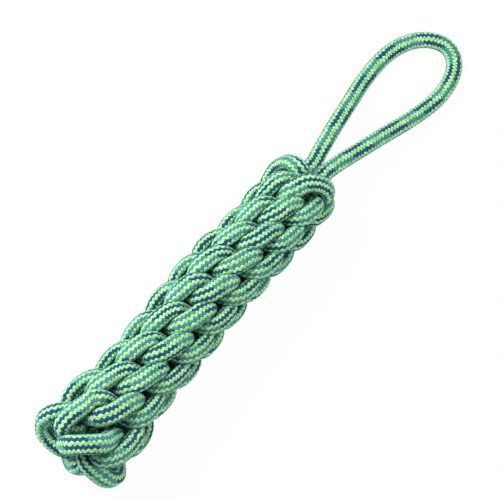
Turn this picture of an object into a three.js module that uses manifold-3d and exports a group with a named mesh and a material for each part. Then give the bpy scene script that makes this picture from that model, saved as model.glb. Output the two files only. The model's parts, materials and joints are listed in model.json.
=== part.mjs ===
// Rope dog toy: eight strands plaited round the two legs of a rope handle. Millimetres, +Z up.
// It lies along X on the plane z = 0, end knot at -X, handle loop at +X and level with the plane.
import * as THREE from 'three';
import Module from 'manifold-3d';
import { mergeVertices } from 'three/addons/utils/BufferGeometryUtils.js';

// Rope
const ropeWidth = 10;
const strandGap = 1.1;
const seatGap = 0.35;

// Plait: places along it are measured from the outer face of the end knot
const quarterStrands = 4;
const rows = 8;
const crownWidth = 46.5;
const plaitWidth = 50;
const endKnotWidth = 61.5;
const firstRow = 206;
const topPitch = 19.6;
const pitchGrowth = 0.35;
const topSpacingShare = 0.1775;
const fullSpacingShare = 0.1825;
const taperStart = 142;
const taperFull = 184;
const flareStart = 62;
const flareFull = 26;
const flareHeight = 4.9;
const columnTurn = 96;

// Hand lay of the crown: its columns turn back a little
const crownTurnBack = 12;
const crownLayRows = 3;

// Lie of the plait on the plane: it rests on the end lobe, at a share of the end knot's length and
// of its radius, and on the crown lobe of a row. Each contact is cut flat by a share of the
// strand's width
const plaitBend = 5.5;
const flatShare = 0.1;
const endTouchShare = 0.335;
const endLobeShare = 0.985;
const crownTouchRow = 0.5;

// Handle
const hingePlace = 237;
const legGap = 0.5;
const loopDropLength = 92;
const legEnd = 10;
const mouthLength = 7.5;

// Sway of the plait, as it is never quite straight: from and to a place and by how much, all as
// shares of its length to the handle's bend
const swayShares = [
  [0, 0.085, 0.0021],
  [0.36, 0.58, -0.007],
  [0.61, 0.76, 0.0087],
  [0.823, 0.937, -0.0038],
];

// Path of a strand from one lobe to the next, in degrees and as shares of the pitch and the spacing
const swingDegrees = [-10.9, 2.0, -0.7];
const climbShare = 0.15;
const archedRow = 0.5;
const tuckedRow = 0;
const dipShares = [0.5, -0.063];

// Regular part of a strand in quarter turns from its first lobe
const archedTurns = [-0.83, 7.5];
const tuckedTurns = [-0.25, 7.85];

// Crown arch after the last regular row: degrees past its column, share of the top pitch above
// the first row, share of the lobe radius
const archShares = [
  [3, 0.56, 0.985],
  [11, 0.73, 0.985],
  [23, 0.87, 0.97],
  [38, 0.95, 0.95],
  [53, 0.95, 0.89],
  [65, 0.9, 0.78],
  [76, 0.86, 0.62],
];

// End lobes after the last regular row: degrees past the column, share of the end knot's length
// from its outer face, share of the end knot's radius
const sweepShares = [
  [33, 0.955, 0.64],
  [25, 0.87, 0.72],
  [18, 0.755, 0.83],
  [11, 0.62, 0.93],
  [3, 0.48, 0.99],
  [-6, 0.335, 0.985],
  [-15, 0.225, 0.885],
  [-24, 0.18, 0.735],
  [-34, 0.172, 0.575],
  [-50, 0.187, 0.45],
];
const tuckShares = [
  [4, 1.05, 0.95],
  [0, 0.845, 0.965],
  [-4, 0.64, 0.945],
  [-8, 0.49, 0.87],
  [-11.5, 0.435, 0.74],
  [-14, 0.47, 0.6],
];

// Facets
const stepsPerRow = 12;
const strandSides = 6;
const strandStep = 3.7;
const handleSides = 10;
const handleStep = 6;
const legSides = 12;
const legSteps = 20;
const endRings = 3;
const rootFullness = 0.95;
const ownFacets = 5;
const planeSpan = 900;

// Handle loop route from the left leg's root to the right leg's root, in millimetres: along the toy
// from the bend, and across from the middle of the two legs
const loopRoute = [
  [0, 5.25],
  [8.7, 6.6],
  [21.7, 8.1],
  [35.2, 9.6],
  [48.8, 10.9],
  [62.4, 12.1],
  [75.7, 12.2],
  [88.5, 10.8],
  [98, 7.6],
  [106, 2.4],
  [112, -4.6],
  [114.8, -12.2],
  [113.4, -19.6],
  [107.6, -25.6],
  [99, -28.8],
  [88.5, -29.6],
  [75.7, -27.8],
  [62.4, -24.2],
  [48.8, -19.8],
  [35.2, -15.3],
  [21.7, -11],
  [8.7, -7.3],
  [0, -5.25],
];

const wasm = await Module();
wasm.setup();

const degrees = Math.PI / 180;
const quarter = 90;
const placeOfRow = (row) => firstRow - topPitch * row - pitchGrowth * row * row;
const lastRowPlace = placeOfRow(rows);

function blendBetween(from, to, place) {
  const share = THREE.MathUtils.clamp((place - from) / (to - from), 0, 1);
  return share * share * (3 - 2 * share);
}

// Spacing between a lobe and the strand that passes under it
const topSpacing = crownWidth * topSpacingShare;
const fullSpacing = plaitWidth * fullSpacingShare;

function spacingAt(place) {
  return fullSpacing + (topSpacing - fullSpacing) * blendBetween(taperStart, taperFull, place);
}

const strandWidthAt = (place) => spacingAt(place) - strandGap;

function lobeRadiusAt(place) {
  const width = plaitWidth + (crownWidth - plaitWidth) * blendBetween(taperStart, taperFull, place);
  const flare = flareHeight * blendBetween(flareStart, flareFull, place);
  return (width - strandWidthAt(place)) / 2 + flare;
}

const endRadius = (endKnotWidth - strandWidthAt(0)) / 2;

// Centre line of the plait: it is propped by the end knot and the crown, and bends a little
const crownHeight = crownWidth / 2 - flatShare * strandWidthAt(firstRow);
const endHeight = endRadius * endLobeShare + (1 / 2 - flatShare) * strandWidthAt(0);
const endTouch = lastRowPlace * endTouchShare;
const crownTouch = placeOfRow(crownTouchRow);
const tilt = (endHeight - crownHeight) / (crownTouch - endTouch);

function axisAt(place) {
  const bent = Math.max(place, 0) / hingePlace;
  let side = -plaitBend * bent * bent;
  for (const [from, to, size] of swayShares) {
    side -= size * hingePlace * blendBetween(from * hingePlace, to * hingePlace, place);
  }
  return new THREE.Vector3(place, side, crownHeight + tilt * (crownTouch - place));
}

// Turns a place on the plait (degrees, along, radius) into a point
function plaitPoint(angle, place, radius) {
  const row = (firstRow - place) / topPitch;
  const lay = 1 - blendBetween(0, crownLayRows, row);
  const laid = angle - lay * crownTurnBack;
  const point = axisAt(place);
  point.y += radius * Math.cos(laid * degrees);
  point.z += radius * Math.sin(laid * degrees);
  return point;
}

// Point of a strand in the regular rows; turns counts quarter turns down from its lobe at lobeRow
function weavePoint(column, lobeRow, turns) {
  const wave = 2 * Math.PI * turns;
  let angle = column - quarter * turns;
  swingDegrees.forEach((swing, index) => {
    angle -= swing * Math.sin((index + 1) * wave);
  });
  const row = lobeRow + turns + climbShare * Math.sin(wave);
  const place = placeOfRow(row);
  const dip = dipShares.reduce((sum, share, index) => sum + share * (1 - Math.cos((index + 1) * wave)), 0);
  return plaitPoint(angle, place, lobeRadiusAt(place) - dip * spacingAt(place));
}

// Route of a strand from the crown to the end knot. An arched one starts as a crown arch and ends as
// a lobe swept across the end face; the others start under an arch and are tucked in at the end.
function strandRoute(index, arched) {
  const column = columnTurn + quarter * index + (arched ? 0 : quarter / 2);
  const lobeRow = arched ? archedRow : tuckedRow;
  const points = [];
  if (arched) {
    for (const [angle, rise, radius] of [...archShares].reverse()) {
      const place = firstRow + rise * topPitch;
      points.push(plaitPoint(column + quarter + angle, place, radius * lobeRadiusAt(place)));
    }
  }
  const [firstTurn, lastTurn] = arched ? archedTurns : tuckedTurns;
  const steps = Math.round((lastTurn - firstTurn) * stepsPerRow);
  for (let step = 0; step <= steps; step += 1) {
    points.push(weavePoint(column, lobeRow, firstTurn + step / stepsPerRow));
  }
  const endColumn = column - quarter * rows;
  for (const [angle, rise, radius] of arched ? sweepShares : tuckShares) {
    points.push(plaitPoint(endColumn + angle, rise * lastRowPlace, radius * endRadius));
  }
  return points;
}

// A closed solid through rings of corners, all with the same number of corners
function loft(rings) {
  const sides = rings[0].length;
  const faces = [];
  for (let ring = 0; ring < rings.length - 1; ring += 1) {
    for (let side = 0; side < sides; side += 1) {
      const next = (side + 1) % sides;
      const a = ring * sides + side;
      const b = ring * sides + next;
      faces.push(a, b, a + sides, b, b + sides, a + sides);
    }
  }
  const last = (rings.length - 1) * sides;
  for (let side = 1; side < sides - 1; side += 1) {
    faces.push(0, side + 1, side, last, last + side, last + side + 1);
  }
  const corners = rings.flat().flatMap((corner) => [corner.x, corner.y, corner.z]);
  const geometry = new THREE.BufferGeometry();
  geometry.setAttribute('position', new THREE.Float32BufferAttribute(corners, 3));
  geometry.setIndex(faces);
  return geometry;
}

// A tube along points that lie a facet's length apart; radiusAt gives its section at each point
function tube(points, sides, radiusAt) {
  const tangent = new THREE.Vector3().subVectors(points[1], points[0]).normalize();
  const across = new THREE.Vector3(0, 0, 1).cross(tangent).normalize();
  return loft(points.map((point, ring) => {
    const before = points[Math.max(ring - 1, 0)];
    const after = points[Math.min(ring + 1, points.length - 1)];
    tangent.subVectors(after, before).normalize();
    across.addScaledVector(tangent, -across.dot(tangent)).normalize();
    const up = new THREE.Vector3().crossVectors(tangent, across);
    const radius = radiusAt(point, ring);
    return Array.from({ length: sides }, (_, side) => {
      const turn = (2 * Math.PI * side) / sides;
      const corner = point.clone().addScaledVector(across, radius * Math.cos(turn));
      return corner.addScaledVector(up, radius * Math.sin(turn));
    });
  }));
}

function toSolid(geometry) {
  const plain = geometry.clone();
  plain.deleteAttribute('normal');
  plain.deleteAttribute('uv');
  const merged = mergeVertices(plain);
  return new wasm.Manifold(new wasm.Mesh({
    numProp: 3,
    vertProperties: new Float32Array(merged.attributes.position.array),
    triVerts: new Uint32Array(merged.index.array),
  }));
}

function fromSolid(solid) {
  const mesh = solid.getMesh();
  const geometry = new THREE.BufferGeometry();
  const corners = new Float32Array(mesh.vertProperties);
  geometry.setAttribute('position', new THREE.BufferAttribute(corners, mesh.numProp));
  geometry.setIndex(new THREE.BufferAttribute(new Uint32Array(mesh.triVerts), 1));
  return geometry;
}

// Cuts a tube flat where it would reach below the plane that the toy lies on
const cutBox = new THREE.BoxGeometry(planeSpan, planeSpan, ropeWidth);
cutBox.translate(0, 0, -ropeWidth / 2);
const belowPlane = toSolid(cutBox);

function restOnPlane(geometry) {
  return fromSolid(toSolid(geometry).subtract(belowPlane));
}

function evenPoints(route, step) {
  const curve = new THREE.CatmullRomCurve3(route, false, 'centripetal');
  curve.arcLengthDivisions = route.length * stepsPerRow;
  return curve.getSpacedPoints(Math.round(curve.getLength() / step));
}

const strandMaterial = new THREE.MeshStandardMaterial({ color: '#4f9a78', roughness: 0.9, metalness: 0 });
const handleMaterial = new THREE.MeshStandardMaterial({ color: '#a8d665', roughness: 0.9, metalness: 0 });

// Plaited strands
const toy = new THREE.Group();
const strandLines = [];
for (let index = 0; index < quarterStrands; index += 1) {
  for (const arched of [true, false]) {
    const points = evenPoints(strandRoute(index, arched), strandStep);
    const geometry = tube(points, strandSides, (point) => strandWidthAt(point.x) / 2);
    const mesh = new THREE.Mesh(restOnPlane(geometry), strandMaterial);
    mesh.name = `${arched ? 'arched' : 'tucked'}_strand_${index + 1}`;
    toy.add(mesh);
    strandLines.push(points);
  }
}

// Least gap between strands, and of each to itself, measured between points of the centre lines
function leastGap(lineA, lineB) {
  const nearby = lineA === lineB ? ownFacets : 0;
  let least = Infinity;
  lineA.forEach((a, i) => {
    lineB.forEach((b, j) => {
      if (Math.abs(i - j) < nearby) return;
      least = Math.min(least, a.distanceTo(b) - (strandWidthAt(a.x) + strandWidthAt(b.x)) / 2);
    });
  });
  return least;
}

const gaps = strandLines.flatMap((a, i) => strandLines.slice(i).map((b) => leastGap(a, b)));
console.log(`least gap between strand points ${Math.min(...gaps).toFixed(2)} mm`);

// The legs of the handle inside the plait: two half-round lengths that fill its core, and round
// again at the mouth of the crown, where they meet the loop
const coreRadius = lobeRadiusAt(taperStart) - fullSpacing - strandWidthAt(taperStart) / 2 - seatGap;
const ropeRadius = ropeWidth / 2;
const legTop = hingePlace - ropeRadius - seatGap;
const hinge = axisAt(hingePlace);

function legSection(place, side) {
  const round = blendBetween(legTop - mouthLength, legTop, place);
  const centre = axisAt(place);
  const corners = [];
  for (let index = 0; index < legSides; index += 1) {
    const turn = (2 * Math.PI * (index + 0.5)) / legSides;
    const halfRound = new THREE.Vector2(Math.cos(turn), Math.sin(turn)).multiplyScalar(coreRadius);
    halfRound.x = Math.max(halfRound.x, 0) + legGap / 2;
    const whole = new THREE.Vector2(Math.cos(turn), Math.sin(turn)).multiplyScalar(ropeRadius);
    whole.x += loopRoute[0][1];
    const corner = halfRound.lerp(whole, round);
    corners.push(new THREE.Vector3(place, centre.y + side * corner.x, centre.z + corner.y));
  }
  return side > 0 ? corners : corners.reverse();
}

for (const [name, side] of [['left_leg', 1], ['right_leg', -1]]) {
  const rings = [];
  for (let step = 0; step <= legSteps; step += 1) {
    rings.push(legSection(legEnd + ((legTop - mouthLength - legEnd) * step) / legSteps, side));
  }
  for (let step = 1; step <= endRings; step += 1) {
    rings.push(legSection(legTop - mouthLength + (mouthLength * step) / endRings, side));
  }
  const mesh = new THREE.Mesh(loft(rings), handleMaterial);
  mesh.name = name;
  toy.add(mesh);
}

// Handle loop: it sags from the bend until its far part rests on the plane, and ends in two round
// roots on the bend's axis
const restHeight = ropeRadius - flatShare * ropeWidth;

function loopPoint([along, across]) {
  const drop = blendBetween(0, loopDropLength, along);
  const height = THREE.MathUtils.lerp(hinge.z, restHeight, drop);
  return new THREE.Vector3(hinge.x + along, hinge.y + across, height);
}

const loopPoints = evenPoints(loopRoute.map(loopPoint), handleStep);
const rootShares = Array.from({ length: endRings }, (_, ring) => (rootFullness * (ring + 1)) / endRings);

function rootPoints(end, next) {
  const outward = new THREE.Vector3().subVectors(end, next).normalize();
  return rootShares.map((share) => end.clone().addScaledVector(outward, ropeRadius * share));
}

const leftRoot = rootPoints(loopPoints[0], loopPoints[1]);
const rightRoot = rootPoints(loopPoints.at(-1), loopPoints.at(-2));
const handlePoints = [...leftRoot.reverse(), ...loopPoints, ...rightRoot];
const handle = tube(handlePoints, handleSides, (point, ring) => {
  const fromEnd = Math.min(ring, handlePoints.length - 1 - ring);
  if (fromEnd >= endRings) return ropeRadius;
  const share = rootShares[endRings - 1 - fromEnd];
  return ropeRadius * Math.sqrt(1 - share * share);
});
const handleMesh = new THREE.Mesh(restOnPlane(handle), handleMaterial);
handleMesh.name = 'handle_loop';
toy.add(handleMesh);

// Moves the origin to the middle of the footprint
const middle = new THREE.Box3().setFromObject(toy).getCenter(new THREE.Vector3());
toy.children.forEach((mesh) => mesh.geometry.translate(-middle.x, -middle.y, 0));
console.log(`bend axis at ${[hinge.x - middle.x, hinge.y - middle.y, hinge.z].map((v) => v.toFixed(2))}`);

export default toy;
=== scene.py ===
# Rope dog toy: eight braided ropes plaited round the two legs of a rope handle.
# The part's own frame: X along the toy from the end knot to the handle, +Z up, lying on z = 0.
import json
import math
import bmesh
import bpy
import numpy as np
from mathutils import Matrix, Vector


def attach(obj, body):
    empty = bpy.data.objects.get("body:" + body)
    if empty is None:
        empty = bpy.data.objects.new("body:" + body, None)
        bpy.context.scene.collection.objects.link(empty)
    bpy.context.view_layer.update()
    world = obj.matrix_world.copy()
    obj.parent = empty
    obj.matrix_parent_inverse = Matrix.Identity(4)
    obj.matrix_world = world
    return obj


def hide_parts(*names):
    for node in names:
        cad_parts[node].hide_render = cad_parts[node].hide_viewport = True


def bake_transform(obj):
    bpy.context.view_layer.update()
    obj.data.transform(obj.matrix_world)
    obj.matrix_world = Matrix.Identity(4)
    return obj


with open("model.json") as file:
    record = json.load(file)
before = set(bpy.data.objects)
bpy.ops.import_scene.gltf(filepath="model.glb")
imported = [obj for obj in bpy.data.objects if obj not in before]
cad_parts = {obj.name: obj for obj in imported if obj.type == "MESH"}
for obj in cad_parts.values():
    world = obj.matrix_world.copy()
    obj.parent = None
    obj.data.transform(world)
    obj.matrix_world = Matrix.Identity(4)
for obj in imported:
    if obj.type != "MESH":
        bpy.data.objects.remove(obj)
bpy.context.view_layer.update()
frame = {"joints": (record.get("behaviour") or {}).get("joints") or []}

# Lengths are in millimetres until a piece's mesh is made, and angles round the plait in degrees
METRES = 0.001
QUARTER = 90.0

# Plait, as in the part: places along it are measured from the outer face of the end knot
CROWN_WIDTH = 46.5
PLAIT_WIDTH = 50.0
END_KNOT_WIDTH = 61.5
FIRST_ROW = 206.0
TOP_PITCH = 19.6
PITCH_GROWTH = 0.35
ROWS = 8
TOP_SPACING_SHARE = 0.1775
FULL_SPACING_SHARE = 0.1825
STRAND_GAP = 1.1
SEAT_GAP = 0.35
TAPER_START = 142.0
TAPER_FULL = 184.0
FLARE_START = 62.0
FLARE_FULL = 26.0
FLARE_HEIGHT = 4.9
COLUMN_TURN = 96.0

# Hand lay of the crown: its columns turn back a little
CROWN_TURN_BACK = 12.0
CROWN_LAY_ROWS = 3.0

# Lie of the plait on the plane: where its end lobe and its crown lobe touch, and what is cut flat
PLAIT_BEND = 5.5
FLAT_SHARE = 0.1
END_TOUCH_SHARE = 0.335
END_LOBE_SHARE = 0.985
CROWN_TOUCH_ROW = 0.5

# Sway of the plait: from and to a place and by how much, as shares of its length to the bend
SWAY = ((0, 0.085, 0.0021), (0.36, 0.58, -0.007), (0.61, 0.76, 0.0087), (0.823, 0.937, -0.0038))

# Path of a strand from one lobe to the next, in degrees and as shares of the pitch and the spacing
SWING = (-10.9, 2.0, -0.7)
CLIMB = 0.15
DIPS = (0.5, -0.063)

# Regular part of a strand in quarter turns from its first lobe
ARCHED_ROW = 0.5
TUCKED_ROW = 0.0
ARCHED_TURNS = (-0.83, 7.5)
TUCKED_TURNS = (-0.62, 7.85)
STEPS_PER_ROW = 12

# Crown arch: degrees past its column, share of the top pitch above the first row, share of the
# lobe radius
ARCH = (
    (3, 0.56, 0.985), (11, 0.73, 0.985), (23, 0.87, 0.97), (38, 0.95, 0.95),
    (53, 0.95, 0.89), (65, 0.9, 0.78), (76, 0.86, 0.62),
)

# End lobes and tails: degrees past the column, share of the end knot's length from its outer
# face, share of its radius
SWEEP = (
    (33, 0.955, 0.64), (25, 0.87, 0.72), (18, 0.755, 0.83), (11, 0.62, 0.93),
    (3, 0.48, 0.99), (-6, 0.335, 0.985), (-15, 0.225, 0.885), (-24, 0.18, 0.735),
    (-34, 0.172, 0.575), (-46, 0.19, 0.45), (-60, 0.25, 0.345), (-76, 0.36, 0.275),
    (-90, 0.5, 0.25), (-100, 0.66, 0.25),
)
TUCK = (
    (4, 1.05, 0.95), (0, 0.845, 0.965), (-4, 0.64, 0.945), (-8, 0.49, 0.87),
    (-11.5, 0.435, 0.74), (-14, 0.47, 0.6), (-8, 0.6, 0.48), (-2, 0.78, 0.42),
)

# Handle loop, from the bend: along the toy and across from the middle of the two legs
LOOP = (
    (0, 4.7), (8.7, 6.3), (21.7, 8.1), (35.2, 9.6), (48.8, 10.9), (62.4, 12.1),
    (75.7, 12.2), (88.5, 10.8), (98, 7.6), (106, 2.4), (112, -4.6), (114.8, -12.2),
    (113.4, -19.6), (107.6, -25.6), (99, -28.8), (88.5, -29.6), (75.7, -27.8),
    (62.4, -24.2), (48.8, -19.8), (35.2, -15.3), (21.7, -11), (8.7, -6.9), (0, -4.7),
)
HINGE_PLACE = 237.0
LOOP_DROP_LENGTH = 92.0
ROPE_RADIUS = 5.0
LOOP_REST_HEIGHT = ROPE_RADIUS * 0.8

# Stubs of the loop in the mouth of the crown, through every tenth of a leg's points
STUB = 17.0
STUB_SHORT_OF_BEND = 2.0
STUB_STRIDE = 10

# Legs of the handle in the core: they part towards the mouth and slim down to the loop's rope
LEG_END = 15.0
LEG_SPREAD = 3.7
LEG_POINTS = 60
LEGS_PART_START = HINGE_PLACE - 24.0
LEGS_PART_FULL = HINGE_PLACE - 6.0
LEGS_SLIM_START = HINGE_PLACE - STUB - 14.0
LEGS_SLIM_FULL = HINGE_PLACE - STUB - 4.0
LEG_REACH = 9.0
LEG_DOME = 1.2

# Pressed section of a strand: half widths along the surface of the plait and away from it
SIDE_REACH = 6.0
OUTWARD_REACH = 4.0
DIVING_SIDE_REACH = 5.3
DIVING_OUTWARD_REACH = 4.5
DIVE_START = 0.1
DIVE_FULL = 0.75
END_KNOT_SIDE_SWELL = 0.8
END_KNOT_OUTWARD_SWELL = 0.5
STRAND_DOME = 3.5
DOME_END = 0.98
PRESS_GAP = 0.06
BEND_SHARE = 0.8
CAP_LOW = 22.0
CAP_HIGH = 212.0

# Braid: pairs of stripes round a rope, and the pitch of one float along it
PLAIT_PAIRS = 7
PLAIT_FLOAT = 2.35
HANDLE_PAIRS = 6
HANDLE_FLOAT = 2.4
STRAND_FIRST_FLOAT = 5.3
LOOP_FIRST_FLOAT = -1.9
LOOP_ROLL = -0.48

# Relief of the floats. Each is round across, by the fourth power, and along, by the square
RELIEF = 0.2
FULL_RELIEF_RADIUS = 3.0
ACROSS_ROUNDING = 16.0
ALONG_ROUNDING = 0.6

# Slow wandering of the floats: pace along the rope, times round it, phase, size
WANDER = ((0.83, 1, 0.0, 1.0), (1.37, 2, 1.9, 0.8), (0.29, 1, 4.1, 1.3), (2.21, 3, 2.7, 0.5))
WANDER_ALONG = 0.12
WANDER_ACROSS = 0.04
WANDER_SHIFT = 50.0

# Mesh. Every other point of a neighbour will do, and a tiny number stands in for a zero divisor
RING_STEP = 0.5
SIDES = 64
LEG_SIDES = 32
SPLINE_SAMPLES = 12
NEIGHBOUR_STRIDE = 2
SAME_PLACE = 1e-7
TINY = 1e-6
BRAID_MAP = "braid"


def smooth(start, end, place):
    """0 up to the start and 1 from the end on, eased between them."""
    share = np.clip((place - start) / (end - start), 0, 1)
    return share * share * (3 - 2 * share)


def place_of_row(row):
    return FIRST_ROW - TOP_PITCH * row - PITCH_GROWTH * row * row


TOP_SPACING = CROWN_WIDTH * TOP_SPACING_SHARE
FULL_SPACING = PLAIT_WIDTH * FULL_SPACING_SHARE
LAST_ROW_PLACE = place_of_row(ROWS)


def to_top(place):
    return smooth(TAPER_START, TAPER_FULL, place)


def spacing(place):
    """Distance between a lobe and the strand that passes under it."""
    return FULL_SPACING + (TOP_SPACING - FULL_SPACING) * to_top(place)


def lobe_radius(place):
    """Distance of a lobe's middle line from the middle of the plait."""
    width = PLAIT_WIDTH + (CROWN_WIDTH - PLAIT_WIDTH) * to_top(place)
    flare = FLARE_HEIGHT * smooth(FLARE_START, FLARE_FULL, place)
    return (width - spacing(place) + STRAND_GAP) / 2 + flare


END_RADIUS = (END_KNOT_WIDTH - FULL_SPACING + STRAND_GAP) / 2
CROWN_HEIGHT = CROWN_WIDTH / 2 - FLAT_SHARE * (TOP_SPACING - STRAND_GAP)
END_HEIGHT = END_RADIUS * END_LOBE_SHARE + (1 / 2 - FLAT_SHARE) * (FULL_SPACING - STRAND_GAP)
END_TOUCH = LAST_ROW_PLACE * END_TOUCH_SHARE
CROWN_TOUCH = place_of_row(CROWN_TOUCH_ROW)
TILT = (END_HEIGHT - CROWN_HEIGHT) / (CROWN_TOUCH - END_TOUCH)
CORE_RADIUS = lobe_radius(TAPER_START) - FULL_SPACING - (FULL_SPACING - STRAND_GAP) / 2 - SEAT_GAP


def axis_at(place):
    """Middle of the plait at a place, or at each of several places."""
    place = np.asarray(place, float)
    share = place / HINGE_PLACE
    height = CROWN_HEIGHT + TILT * (CROWN_TOUCH - place)
    sway = HINGE_PLACE * sum(size * smooth(start, end, share) for start, end, size in SWAY)
    return np.stack([place, -PLAIT_BEND * np.maximum(share, 0) ** 2 - sway, height], -1)


# The part's frame has its origin under the middle of the toy. This carries the plait's places there
HINGE = frame["joints"][0]["pos_m"]
FRAME_SHIFT = (np.array(HINGE) / METRES - axis_at(HINGE_PLACE)) * (1, 1, 0)


def plait_point(angle, place, radius):
    """Point round the plait, with its angle turned back by the lay of the crown."""
    lay = 1 - smooth(0, CROWN_LAY_ROWS, (FIRST_ROW - place) / TOP_PITCH)
    laid = math.radians(angle - lay * CROWN_TURN_BACK)
    return axis_at(place) + radius * np.array([0, math.cos(laid), math.sin(laid)])


def weave_point(column, lobe_row, turns):
    """Point of a strand in the regular rows, some quarter turns down from its first lobe."""
    wave = 2 * math.pi * turns
    swing = sum(size * math.sin((n + 1) * wave) for n, size in enumerate(SWING))
    dip = sum(share * (1 - math.cos((n + 1) * wave)) for n, share in enumerate(DIPS))
    place = place_of_row(lobe_row + turns + CLIMB * math.sin(wave))
    radius = lobe_radius(place) - dip * spacing(place)
    return plait_point(column - QUARTER * turns - swing, place, radius)


def strand_route(index, arched):
    """One strand from the crown to its tail in the end knot."""
    column = COLUMN_TURN + QUARTER * (index if arched else index + 0.5)
    points = []
    if arched:
        for angle, rise, share in reversed(ARCH):
            place = FIRST_ROW + rise * TOP_PITCH
            points.append(plait_point(column + QUARTER + angle, place, share * lobe_radius(place)))
    first, last = ARCHED_TURNS if arched else TUCKED_TURNS
    for step in range(round((last - first) * STEPS_PER_ROW) + 1):
        turns = first + step / STEPS_PER_ROW
        points.append(weave_point(column, ARCHED_ROW if arched else TUCKED_ROW, turns))
    for angle, rise, share in SWEEP if arched else TUCK:
        place = rise * LAST_ROW_PLACE
        points.append(plait_point(column - QUARTER * ROWS + angle, place, share * END_RADIUS))
    return np.array(points)


def leg_route(side, start, end):
    """Middle of one leg in the core of the plait. Towards the mouth it parts from the other."""
    place = np.linspace(start, end, LEG_POINTS)
    parting = smooth(LEGS_PART_START, LEGS_PART_FULL, place)
    points = axis_at(place)
    points[:, 1] += side * (LEG_SPREAD + (LOOP[0][1] - LEG_SPREAD) * parting)
    return points


def loop_route():
    """The handle loop's points, which fall from the mouth of the crown to the plane."""
    bend = axis_at(HINGE_PLACE)
    points = []
    for along, across in LOOP:
        drop = smooth(0, LOOP_DROP_LENGTH, along)
        height = bend[2] + (LOOP_REST_HEIGHT - bend[2]) * drop
        points.append([bend[0] + along, bend[1] + across, height])
    return np.array(points)


def even_line(route, step):
    """Evenly spaced points on the centripetal spline through a route."""
    padded = np.vstack([2 * route[0] - route[1], route, 2 * route[-1] - route[-2]])
    runs = []
    for a, b, c, d in zip(padded, padded[1:], padded[2:], padded[3:]):
        t1 = np.linalg.norm(b - a) ** 0.5
        t2 = t1 + np.linalg.norm(c - b) ** 0.5
        t3 = t2 + np.linalg.norm(d - c) ** 0.5
        t = np.linspace(t1, t2, SPLINE_SAMPLES, endpoint=False)[:, None]
        ab = a + (b - a) * t / t1
        bc = b + (c - b) * (t - t1) / (t2 - t1)
        cd = c + (d - c) * (t - t2) / (t3 - t2)
        abc = ab + (bc - ab) * t / t2
        bcd = bc + (cd - bc) * (t - t1) / (t3 - t1)
        runs.append(abc + (bcd - abc) * (t - t1) / (t2 - t1))
    fine = np.vstack(runs + [route[-1:]])
    walked = np.r_[0, np.cumsum(np.linalg.norm(np.diff(fine, axis=0), axis=1))]
    marks = np.linspace(0, walked[-1], round(walked[-1] / step) + 1)
    return np.stack([np.interp(marks, walked, fine[:, k]) for k in range(3)], 1)


def unit(vectors):
    return vectors / np.linalg.norm(vectors, axis=-1, keepdims=True)


def section_directions(line, sides):
    """Directions round a line at each of its points. They turn with it but never twist round it."""
    tangents = unit(np.gradient(line, axis=0))
    across = np.zeros_like(line)
    across[0] = unit(np.cross([0, 0, 1.0], tangents[0]))
    for k in range(1, len(line)):
        across[k] = unit(across[k - 1] - tangents[k] * (across[k - 1] @ tangents[k]))
    up = np.cross(tangents, across)
    turn = 2 * math.pi * np.arange(sides) / sides
    return np.cos(turn)[:, None] * across[:, None] + np.sin(turn)[:, None] * up[:, None]


def from_middle(line):
    """From the middle of the plait to a line. Over the plait's two ends this turns along the toy."""
    return line - axis_at(np.clip(line[:, 0], CAP_LOW, CAP_HIGH))


def diving(line):
    """From 0 on top of a lobe to 1 where a strand has dived under its neighbours."""
    place = line[:, 0]
    radius = np.linalg.norm(from_middle(line), axis=1)
    depth = (lobe_radius(place) - radius) / spacing(place)
    return smooth(DIVE_START, DIVE_FULL, depth)


def neighbour_limit(line, directions, others, reach):
    """Radius at which the rope meets its neighbours halfway."""
    limit = np.full(directions.shape[:2], reach)
    for k, point in enumerate(line):
        away = others - point
        squares = (away * away).sum(1)
        near = squares < 4 * reach * reach
        if near.any():
            towards = directions[k] @ away[near].T
            halfway = squares[near] / np.maximum(2 * towards, TINY)
            limit[k] = np.minimum(limit[k], halfway.min(1) - PRESS_GAP)
    return limit


def bend_limit(line, directions):
    """Radius on the inside of a bend, short of its centre."""
    step = np.linalg.norm(line[1] - line[0])
    turning = np.gradient(unit(np.gradient(line, axis=0)), axis=0) / step
    inward = (directions * turning[:, None]).sum(-1)
    return BEND_SHARE / np.maximum(inward, TINY)


def core_crossing(line, directions):
    """Terms of the distances from a line, along its directions, to the wall of the plait's core."""
    offset = (line - axis_at(line[:, 0]))[:, None, 1:]
    across = directions[..., 1:]
    a = (across * across).sum(-1)
    b = (across * offset).sum(-1)
    c = (offset * offset).sum(-1) - CORE_RADIUS ** 2
    return a, b, c


def core_limit(line, directions):
    """Radius at which a strand meets the two legs in the core of the plait."""
    a, b, c = core_crossing(line, directions)
    inside = b * b - a * c
    meets = (inside > 0) & (b < 0) & (c > 0)
    hit = (-b - np.sqrt(np.maximum(inside, 0))) / np.maximum(a, TINY)
    return np.where(meets, hit - PRESS_GAP, np.inf)


def core_wall(line, directions):
    """Radius at which a leg meets the strands round the core that it lies in."""
    _, b, c = core_crossing(line, directions)
    return -b + np.sqrt(b * b - c) - PRESS_GAP


def plane_limit(line, directions):
    """Radius at which the rope lies on the plane."""
    down = -directions[..., 2]
    return np.where(down > TINY, line[:, None, 2] / np.maximum(down, TINY), np.inf)


def soften(radius, along, around):
    """Evens out a rope's radius by a number of passes along it and a number round it."""
    for _ in range(along):
        ends = np.vstack([radius[:1], radius, radius[-1:]])
        radius = (ends[:-2] + 2 * ends[1:-1] + ends[2:]) / 4
    for _ in range(around):
        radius = (np.roll(radius, 1, 1) + 2 * radius + np.roll(radius, -1, 1)) / 4
    return radius


def within(limit, along, around):
    """Radius of a rope that is evened out but nowhere passes its limit."""
    return np.minimum(soften(limit, along, around), limit)


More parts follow.
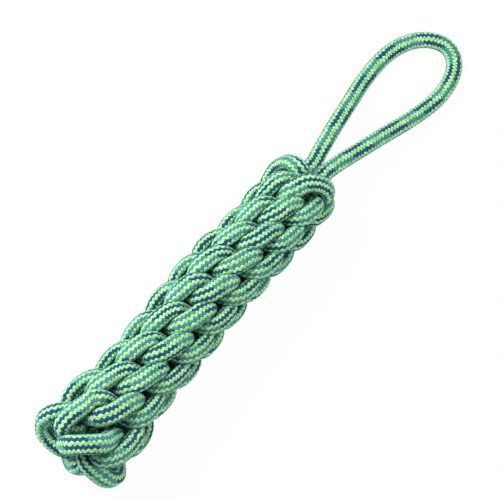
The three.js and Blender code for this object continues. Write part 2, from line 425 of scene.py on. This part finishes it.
def round_ends(radius, length):
    """Narrows both ends of a rope in a dome of the given length, cut a little short of its tip."""
    walked = np.arange(len(radius)) * RING_STEP
    from_end = np.minimum(walked, walked[-1] - walked)
    share = np.clip(1 - from_end / length, 0, DOME_END)
    return radius * np.sqrt(1 - share * share)[:, None]


def braid_height(along, across):
    """Height of the braid's floats, from 0 between the yarns to 1 on top of one.

    A float covers two squares of a lattice that stands on its corners. It runs from -1 to 1 along
    them, and its side goes from -0.5 to 0.5 across them. The material's nodes follow it too."""
    falling, rising = along - across, along + across
    column, row = np.floor(falling), np.floor(rising)
    phase = (row - column) % 4
    x, y = falling - column - 0.5, rising - row - 0.5
    lime = phase < 1.5
    side = np.where(lime, x, y)
    run = np.where(lime, y + phase - 0.5, x - phase + 2.5)
    return (1 - ACROSS_ROUNDING * side ** 4) * (1 - ALONG_ROUNDING * run * run)


def wander(along, turn):
    """Drift of the floats, so that no two of them sit quite alike."""
    return sum(
        size * np.sin(pace * along + times * turn + phase) for pace, times, phase, size in WANDER)


def braid_coordinates(skin, floats, pairs, roll):
    """Floats along a rope and stripes round it, at every corner of its rings.

    The stripes keep their width on the skin of a pressed section, and don't creep round it."""
    rings, sides = skin.shape[:2]
    edges = np.linalg.norm(np.roll(skin, -1, 1) - skin, axis=-1)
    walked = np.hstack([np.zeros((rings, 1)), np.cumsum(edges, 1)])
    across = walked / walked[:, -1:]
    even = np.arange(sides + 1) / sides
    creep = soften((across - even).mean(1, keepdims=True), along=6, around=0)
    across = roll - (across - creep) * 2 * pairs
    turn = 2 * math.pi * even
    along = floats[:, None]
    across = across + WANDER_ACROSS * wander(along + WANDER_SHIFT, turn)
    return along + WANDER_ALONG * wander(along, turn), across


def add_object(name, data):
    holder = bpy.data.objects.new(name, data)
    bpy.context.scene.collection.objects.link(holder)
    return holder


def add_rope(name, line, radius, directions, pairs, pitch, start=0.0, roll=0.0):
    """A closed tube of rings round a line. Its UV map counts floats along and stripes round."""
    rings, sides = radius.shape
    skin = line[:, None] + directions * radius[..., None]
    step = np.linalg.norm(line[1] - line[0])
    along, across = braid_coordinates(skin, start + np.arange(rings) * step / pitch, pairs, roll)
    sunk = RELIEF * (1 - braid_height(along[:, :-1], across[:, :-1]))
    skin = skin - directions * (sunk * np.minimum(radius / FULL_RELIEF_RADIUS, 1))[..., None]
    skin[..., 2] = np.maximum(skin[..., 2], 0)

    # A grid of as many rings and sides, each vertex of which goes to its place on the skin
    bm = bmesh.new()
    bm.loops.layers.uv.new(BRAID_MAP)
    bmesh.ops.create_grid(bm, x_segments=rings - 1, y_segments=sides, size=0.5, calc_uvs=True)
    mesh = bpy.data.meshes.new(name)
    bm.to_mesh(mesh)
    bm.free()
    flat = np.empty(len(mesh.vertices) * 3, np.float32)
    mesh.vertices.foreach_get("co", flat)
    flat = flat.reshape(-1, 3)
    ring = np.rint((flat[:, 0] + 0.5) * (rings - 1)).astype(int)
    side = np.rint((flat[:, 1] + 0.5) * sides).astype(int)
    places = (skin[ring, side % sides] + FRAME_SHIFT) * METRES
    mesh.vertices.foreach_set("co", places.astype(np.float32).ravel())
    corner = np.empty(len(mesh.loops), np.int32)
    mesh.loops.foreach_get("vertex_index", corner)
    uv = np.stack([field[ring[corner], side[corner]] for field in (along, across)], 1)
    mesh.uv_layers[BRAID_MAP].data.foreach_set("uv", uv.astype(np.float32).ravel())

    # The grid's two long edges are joined, and its two ends are filled
    bm = bmesh.new()
    bm.from_mesh(mesh)
    bmesh.ops.remove_doubles(bm, verts=bm.verts, dist=SAME_PLACE)
    bmesh.ops.holes_fill(bm, edges=bm.edges, sides=0)
    bmesh.ops.recalc_face_normals(bm, faces=bm.faces)
    for face in bm.faces:
        face.smooth = True
    bm.to_mesh(mesh)
    bm.free()
    return add_object(name, mesh)


class Wire:
    """An output of a shader node. Sums, products and comparisons on it add Math nodes."""

    def __init__(self, paint, socket):
        self.paint = paint
        self.socket = socket

    def __add__(self, other):
        return self.paint.number("ADD", self, other)

    def __sub__(self, other):
        return self.paint.number("SUBTRACT", self, other)

    def __rsub__(self, other):
        return self.paint.number("SUBTRACT", other, self)

    def __mul__(self, other):
        return self.paint.number("MULTIPLY", self, other)

    def __mod__(self, other):
        return self.paint.number("FLOORED_MODULO", self, other)

    def __lt__(self, other):
        return self.paint.number("LESS_THAN", self, other)

    def __pow__(self, other):
        return self.paint.number("POWER", self, other)

    __radd__ = __add__
    __rmul__ = __mul__


class Paint:
    """The nodes of a material or of the world, built by expressions on their outputs."""

    def __init__(self, owner):
        owner.use_nodes = True
        self.tree = owner.node_tree
        self.tree.nodes.clear()

    def node(self, kind, settings=None, sockets=None, out=0):
        made = self.tree.nodes.new(kind)
        for key, value in (settings or {}).items():
            setattr(made, key, value)
        for key, value in (sockets or {}).items():
            if isinstance(value, Wire):
                self.tree.links.new(value.socket, made.inputs[key])
            else:
                made.inputs[key].default_value = value
        return Wire(self, made.outputs[out]) if made.outputs else None

    def number(self, operation, *values):
        return self.node("ShaderNodeMath", {"operation": operation}, dict(enumerate(values)))

    def floor(self, value):
        return self.number("FLOOR", value)

    def size_of(self, value):
        return self.number("ABSOLUTE", value)

    def clamp(self, value):
        return self.node("ShaderNodeClamp", None, {"Value": value})

    def contrast(self, value, gain, shift):
        return self.clamp(value * gain - shift)

    def ramp(self, value, low, high):
        """From 0 at the low value to 1 at the high one."""
        sockets = {"Value": value, "From Min": low, "From Max": high}
        return self.node("ShaderNodeMapRange", {"interpolation_type": "SMOOTHSTEP"}, sockets)

    def vector(self, x, y, z=0.0):
        return self.node("ShaderNodeCombineXYZ", None, {0: x, 1: y, 2: z})

    def coordinate(self, vector, number):
        return self.node("ShaderNodeSeparateXYZ", None, {"Vector": vector}, number)

    def colour(self, share, first, second, blend="MIX"):
        """Sockets 6 and 7 of a Mix node are its two colours, and output 2 is the mixed one."""
        settings = {"data_type": "RGBA", "blend_type": blend}
        return self.node("ShaderNodeMix", settings, {"Factor": share, 6: first, 7: second}, 2)

    def noise(self, vector, scale):
        return self.node("ShaderNodeTexNoise", None, {"Vector": vector, "Scale": scale})


# Yarns, and a painted mint highlight for the tips of lime ones. Blue ones have a haze of loose fibres
LIME = (0.42, 0.65, 0.2, 1)
LIME_GREEN = (0.26, 0.56, 0.23, 1)
MINT_HIGHLIGHT = (0.56, 0.88, 0.68, 1)
NAVY = (0.003, 0.04, 0.145, 1)
TEAL = (0.055, 0.225, 0.245, 1)
HAZE = (0.19, 0.46, 0.46, 1)
SHEEN = (0.35, 0.9, 0.9, 1)
LEAST_TIP_HIGHLIGHT = 0.3
TIP_HIGHLIGHT_VARIETY = 0.35
TEAL_HAZE = 0.6
NAVY_HAZE = 0.35

# Where a float's parts lie: its tip and its dive by the run, and its groove by the side
TIP = (0.3, 0.75)
DIVE = (0.7, 1.0)
GROOVE = (0.3, 0.5)

# Depth of the shade painted into the colour in those parts, and the random tone of each float. Red
# fades first as the colour darkens
LIME_GROOVE_SHADE = 0.4
BLUE_GROOVE_SHADE = 0.5
LIME_DIVE_SHADE = 0.1
BLUE_DIVE_SHADE = 0.75
LEAST_TONE = 0.78
TONE_VARIETY = 0.34
RED_FADE = 1.8
BLUE_FADE = 1.2

# Fibres in a float and patches on a rope: steps across and along, per float
FIBRES_ACROSS = 9.0
FIBRES_ALONG = 0.9
FIBRES_PER_FLOAT = 3.0
FIBRE_RELIEF = 0.18
PATCHES_ALONG = 0.12
PATCHES_ACROSS = 0.25


def braided_rope(name, pairs):
    """Two sets of yarns crossing over two and under two: lime ones, and navy and teal ones."""
    material = bpy.data.materials.new(name)
    paint = Paint(material)
    uv = paint.node("ShaderNodeUVMap", {"uv_map": BRAID_MAP})
    along, across = paint.coordinate(uv, 0), paint.coordinate(uv, 1)
    falling, rising = along - across, along + across
    column, row = paint.floor(falling), paint.floor(rising)
    phase = (row - column) % 4
    x, y = falling - column - 0.5, rising - row - 0.5
    lime = phase < 1.5
    blue = 1 - lime
    side = x * lime + y * blue
    run = (y + phase - 0.5) * lime + (x - phase + 2.5) * blue
    height = (1 - side * side * side * side * ACROSS_ROUNDING) * (1 - run * run * ALONG_ROUNDING)
    turn = 2 * pairs
    navy = (row % turn) < pairs - 0.5

    # Each float differs a little, and so do the fibres in it
    float_id = paint.vector(column % turn, row % turn, phase)
    chance = paint.node("ShaderNodeTexWhiteNoise", {"noise_dimensions": "3D"}, {"Vector": float_id})
    fibre_x = side * FIBRES_ACROSS + column * FIBRES_PER_FLOAT
    fibres = paint.noise(paint.vector(fibre_x, run * FIBRES_ALONG + row, lime), 2.0)
    patches = paint.noise(paint.vector(along * PATCHES_ALONG, across * PATCHES_ACROSS), 1.0)
    limes = paint.colour(paint.contrast(patches, gain=2.0, shift=0.5), LIME_GREEN, LIME)
    blues = paint.colour(navy, TEAL, NAVY)

    # Float ends stand off the rope and catch the light, painted as a mint highlight on lime tips.
    # Where they dive, painted shade darkens them
    tip_highlight = paint.ramp(paint.size_of(run), *TIP) * (LEAST_TIP_HIGHLIGHT + TIP_HIGHLIGHT_VARIETY * chance)
    haze = paint.contrast(fibres, gain=2.2, shift=0.9) * (TEAL_HAZE - (TEAL_HAZE - NAVY_HAZE) * navy)
    # The yarn colour carries the painted mint highlight on the lime tips
    yarn_and_highlight = paint.colour(lime, paint.colour(haze, blues, HAZE), paint.colour(tip_highlight, limes, MINT_HIGHLIGHT))
    # Painted shade: the grooves beside a float and the end where it dives are darkened in its colour
    groove_shade = paint.ramp(paint.size_of(side), *GROOVE) * (LIME_GROOVE_SHADE * lime + BLUE_GROOVE_SHADE * blue)
    dive_shade = paint.ramp(paint.size_of(run), *DIVE) * (LIME_DIVE_SHADE * lime + BLUE_DIVE_SHADE * blue)
    shade_and_tone = paint.clamp((1 - groove_shade) * (1 - dive_shade) * (LEAST_TONE + TONE_VARIETY * chance))
    # The painted shade times the random tone of each float, with red fading first as it darkens
    faded = paint.vector(shade_and_tone ** RED_FADE, shade_and_tone, shade_and_tone ** BLUE_FADE)
    relief = height + FIBRE_RELIEF * fibres
    bump = paint.node("ShaderNodeBump", None, {"Distance": RELIEF * METRES, "Height": relief})
    shader = paint.node("ShaderNodeBsdfPrincipled", None, {
        "Base Color": paint.colour(1.0, yarn_and_highlight, faded, "MULTIPLY"),
        "Roughness": 0.95 - 0.2 * height,
        "Normal": bump,
        "Specular IOR Level": 0.06,
        "Sheen Weight": 0.85,
        "Sheen Roughness": 0.32,
        "Sheen Tint": SHEEN,
    })
    paint.node("ShaderNodeOutputMaterial", None, {"Surface": shader})
    return material


plait_braid = braided_rope("plait_rope_braid", PLAIT_PAIRS)
handle_braid = braided_rope("handle_rope_braid", HANDLE_PAIRS)


def dress(piece, material, body, slot, *nodes):
    piece.data.materials.append(material)
    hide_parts(*nodes)
    if body:
        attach(piece, body)


def add_loop():
    """Handle loop: it runs a little way into the mouth of the crown at both ends."""
    start, end = HINGE_PLACE - STUB, HINGE_PLACE - STUB_SHORT_OF_BEND
    left, right = (leg_route(side, start, end)[::STUB_STRIDE] for side in (1, -1))
    line = even_line(np.vstack([left, loop_route(), right[::-1]]), RING_STEP)
    directions = section_directions(line, SIDES)
    limit = np.minimum(ROPE_RADIUS, plane_limit(line, directions))
    left_half = np.arange(len(line)) < (len(line) - 1) / 2
    for here in (left_half, ~left_half):
        beside = neighbour_limit(line[here], directions[here], line[~here], ROPE_RADIUS)
        limit[here] = np.minimum(limit[here], beside)
    piece = add_rope(
        "handle_rope_loop", line, within(limit, along=3, around=1), directions,
        HANDLE_PAIRS, HANDLE_FLOAT, LOOP_FIRST_FLOAT, LOOP_ROLL)
    dress(piece, handle_braid, None, "handle_rope", "handle_loop")
    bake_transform(piece)


def add_legs(lines, strand_lines):
    """The two legs of the handle in the core of the plait, pressed to a half-round section."""
    strands = np.vstack([line[::NEIGHBOUR_STRIDE] for line in strand_lines])
    for side, line, other in (("left", *lines), ("right", *reversed(lines))):
        directions = section_directions(line, LEG_SIDES)
        beside = neighbour_limit(line, directions, other, LEG_REACH)
        limit = np.minimum(core_wall(line, directions), beside)
        at_end = line[:, 0] < FLARE_FULL
        tails = neighbour_limit(line[at_end], directions[at_end], strands, LEG_REACH)
        limit[at_end] = np.minimum(limit[at_end], tails)
        slimming = smooth(LEGS_SLIM_START, LEGS_SLIM_FULL, line[:, 0])[:, None]
        limit = np.minimum(limit, LEG_REACH + (ROPE_RADIUS - LEG_REACH) * slimming)
        radius = round_ends(within(limit, along=2, around=1), LEG_DOME)
        piece = add_rope(f"{side}_leg_rope", line, radius, directions, HANDLE_PAIRS, HANDLE_FLOAT)
        dress(piece, handle_braid, "plait", "handle_rope", f"{side}_leg")


def strand_reach(line, directions):
    """Radius of a strand's own section, which is flat along the surface of the plait."""
    facing = (directions * unit(from_middle(line))[:, None]).sum(-1)
    depth = diving(line)[:, None]
    at_end = smooth(FLARE_START, FLARE_FULL, line[:, 0])[:, None]
    sideways = SIDE_REACH + (DIVING_SIDE_REACH - SIDE_REACH) * depth
    sideways = sideways + END_KNOT_SIDE_SWELL * at_end
    away = OUTWARD_REACH + (DIVING_OUTWARD_REACH - OUTWARD_REACH) * depth
    away = away + END_KNOT_OUTWARD_SWELL * at_end
    return sideways - (sideways - away) * facing ** 2


def add_strands(names, lines, leg_lines):
    """The eight strands, pressed by each other, by the legs and by the plane."""
    legs = np.vstack([line[::NEIGHBOUR_STRIDE] for line in leg_lines])
    leg_ends = legs[legs[:, 0] < FLARE_FULL]
    for number, ((index, arched), line) in enumerate(zip(names, lines)):
        directions = section_directions(line, SIDES)
        strands = [other[::NEIGHBOUR_STRIDE] for n, other in enumerate(lines) if n != number]
        limit = np.minimum.reduce([
            strand_reach(line, directions),
            neighbour_limit(line, directions, np.vstack([*strands, leg_ends]), SIDE_REACH),
            core_limit(line, directions),
            bend_limit(line, directions),
            plane_limit(line, directions),
        ])
        radius = round_ends(within(limit, along=6, around=3), STRAND_DOME)
        kind = "arched" if arched else "tucked"
        piece = add_rope(
            f"{kind}_strand_rope_{index + 1}", line, radius, directions,
            PLAIT_PAIRS, PLAIT_FLOAT, STRAND_FIRST_FLOAT * number)
        dress(piece, plait_braid, "plait", "plait_rope", f"{kind}_strand_{index + 1}")


strand_names = [(index, arched) for index in range(4) for arched in (True, False)]
strand_lines = [even_line(strand_route(index, arched), RING_STEP) for index, arched in strand_names]
leg_lines = [even_line(leg_route(side, LEG_END, HINGE_PLACE - STUB), RING_STEP) for side in (1, -1)]
add_loop()
add_legs(leg_lines, strand_lines)
add_strands(strand_names, strand_lines, leg_lines)


# Camera. The aim is a place above the frame's origin, moved by an offset in the picture
CAMERA_AZIMUTH = math.radians(-98.6)
CAMERA_ELEVATION = math.radians(75.0)
CAMERA_ROLL = math.radians(48.16)
CAMERA_DISTANCE = 2.4
CAMERA_FOCUS_PIXELS = 4040.0
CAMERA_FAR = 20.0
IMAGE_WIDTH_PIXELS = 500.0
SENSOR_WIDTH = 36.0
AIM_OFFSET_PIXELS = (-9.8, -9.8)
AIM_HEIGHT = 0.02


def add_camera():
    """Places the camera and returns its directions to the right, up and back."""
    level = math.cos(CAMERA_ELEVATION)
    back = Vector((
        math.sin(CAMERA_AZIMUTH) * level,
        -math.cos(CAMERA_AZIMUTH) * level,
        math.sin(CAMERA_ELEVATION),
    ))
    level_right = (-back).cross(Vector((0, 0, 1))).normalized()
    level_up = level_right.cross(-back)
    right = level_right * math.cos(CAMERA_ROLL) + level_up * math.sin(CAMERA_ROLL)
    up = level_up * math.cos(CAMERA_ROLL) - level_right * math.sin(CAMERA_ROLL)
    metres_per_pixel = CAMERA_DISTANCE / CAMERA_FOCUS_PIXELS
    aim = Vector((0, 0, AIM_HEIGHT))
    aim += metres_per_pixel * (AIM_OFFSET_PIXELS[0] * right + AIM_OFFSET_PIXELS[1] * up)
    place = Matrix((right, up, back)).transposed().to_4x4()
    place.translation = aim + back * CAMERA_DISTANCE
    camera = bpy.data.cameras.new("camera")
    camera.sensor_width = SENSOR_WIDTH
    camera.lens = SENSOR_WIDTH * CAMERA_FOCUS_PIXELS / IMAGE_WIDTH_PIXELS
    camera.clip_end = CAMERA_FAR
    holder = add_object("camera", camera)
    holder.matrix_world = place
    bpy.context.scene.camera = holder
    return right, up, back


# Studio: floor and surroundings that are white to the camera, and shed less light on the toy
WHITE = (1, 1, 1, 1)
FLOOR_REACH = 3.0
FLOOR_GREY = (0.8, 0.8, 0.8, 1)
FLOOR_WHITE_SHARE = 0.96
SURROUNDING_LIGHT = 0.22


def add_floor():
    bm = bmesh.new()
    bmesh.ops.create_grid(bm, x_segments=1, y_segments=1, size=FLOOR_REACH)
    mesh = bpy.data.meshes.new("floor")
    bm.to_mesh(mesh)
    bm.free()
    material = bpy.data.materials.new("pale_floor")
    paint = Paint(material)
    seen = paint.node("ShaderNodeLightPath")
    diffuse = paint.node("ShaderNodeBsdfDiffuse", None, {"Color": FLOOR_GREY})
    white = paint.node("ShaderNodeEmission", None, {"Color": WHITE})
    mix = paint.node("ShaderNodeMixShader", None, {0: seen * FLOOR_WHITE_SHARE, 1: diffuse, 2: white})
    paint.node("ShaderNodeOutputMaterial", None, {"Surface": mix})
    mesh.materials.append(material)
    add_object("floor", mesh)


def add_surroundings():
    world = bpy.data.worlds.new("studio")
    bpy.context.scene.world = world
    paint = Paint(world)
    seen = paint.node("ShaderNodeLightPath")
    soft = paint.node("ShaderNodeBackground", None, {"Color": WHITE, "Strength": SURROUNDING_LIGHT})
    white = paint.node("ShaderNodeBackground", None, {"Color": WHITE})
    mix = paint.node("ShaderNodeMixShader", None, {0: seen, 1: soft, 2: white})
    paint.node("ShaderNodeOutputWorld", None, {"Surface": mix})


def add_lamp(name, direction, distance, size, power):
    """A square lamp that shines at the frame's origin from a direction."""
    lamp = bpy.data.lights.new(name, "AREA")
    lamp.shape = "SQUARE"
    lamp.size = size
    lamp.energy = power
    direction = direction.normalized()
    turned = direction.to_track_quat("Z", "Y").to_matrix().to_4x4()
    add_object(name, lamp).matrix_world = Matrix.Translation(direction * distance) @ turned


right, up, back = add_camera()
add_floor()
add_surroundings()
add_lamp("key_lamp", back + 0.65 * up - 0.65 * right, distance=1.6, size=0.7, power=33)
add_lamp("left_lamp", 0.45 * back - right + 0.3 * up, distance=1.4, size=0.6, power=9)
add_lamp("right_lamp", 0.45 * back + right - 0.2 * up, distance=1.4, size=0.6, power=14)
bpy.context.scene.view_settings.view_transform = "Standard"
